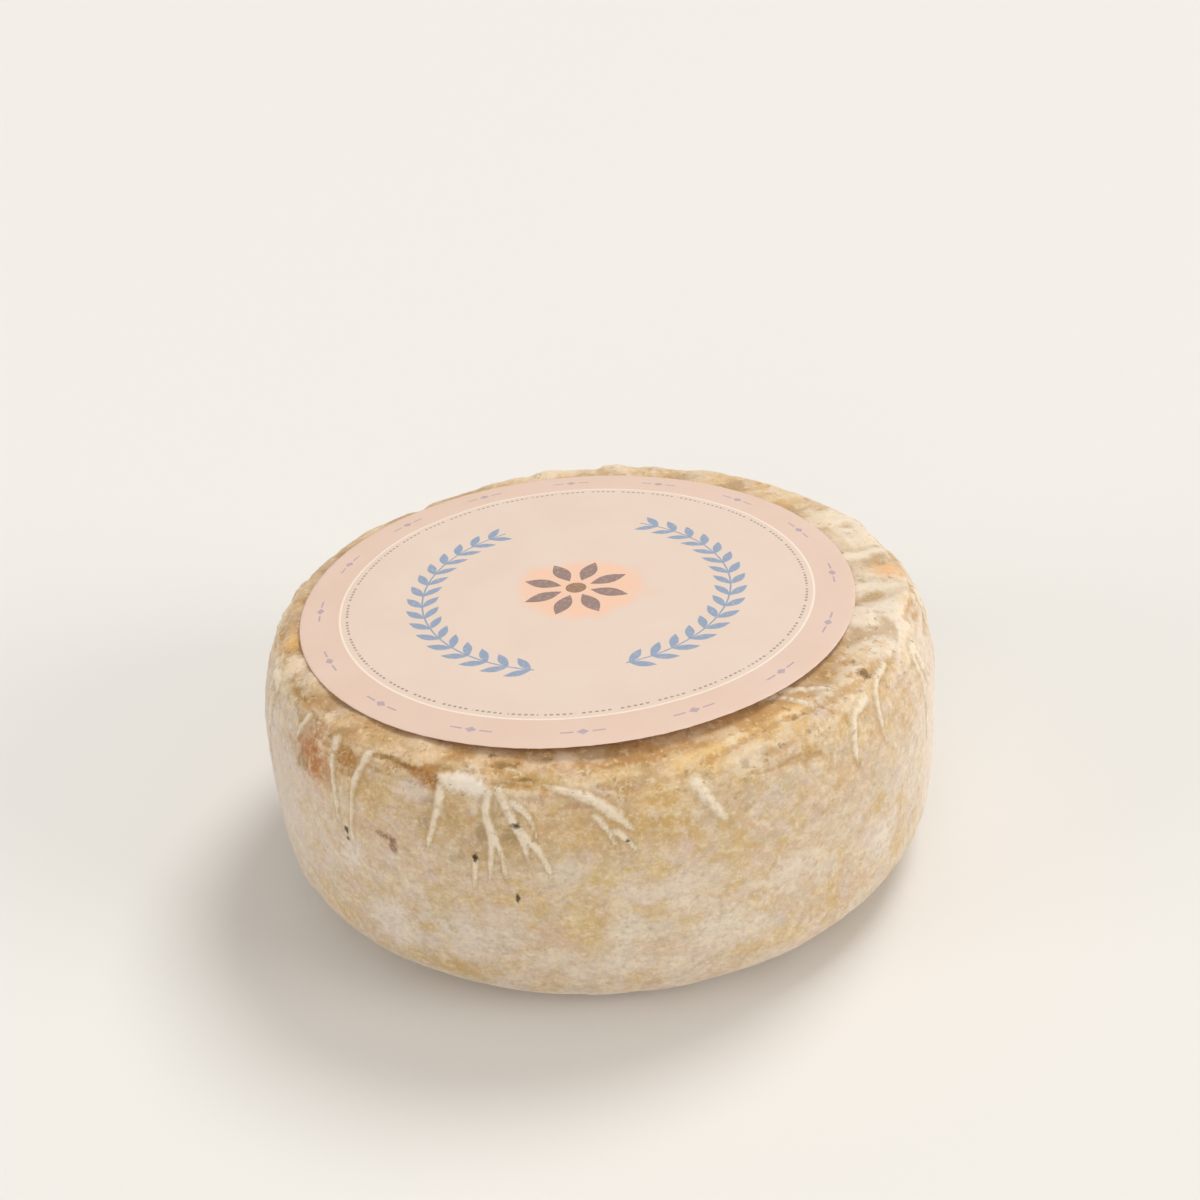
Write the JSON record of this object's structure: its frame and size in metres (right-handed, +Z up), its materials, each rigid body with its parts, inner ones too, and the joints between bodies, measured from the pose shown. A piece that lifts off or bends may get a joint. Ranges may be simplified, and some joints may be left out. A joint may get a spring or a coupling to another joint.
{
  "type": "cheese wheel",
  "caption": "Whole uncut wheel of goat's-milk tomme with a soft bulging side, rounded edges, a mottled natural rind and a round paper label on its top.",
  "frame": {"origin": "middle of the flat foot that the wheel rests on", "axes": "+Z up along the wheel's axis; -Y towards the side where the label's edge lifts; +X to the right of that side seen from the front"},
  "size_m": [0.221, 0.2189, 0.0892],
  "materials": {
    "rind": "dry natural cheese rind, matte and floury, cream and beige mottled with ochre, with pale raised folds under the shoulder",
    "label_paper": "uncoated food-label paper, pale pink with a peach border and plain printed ornament"
  },
  "bodies": {
    "root": {"cheese_wheel": "rind", "paper_label": "label_paper"}
  },
  "joints": []
}
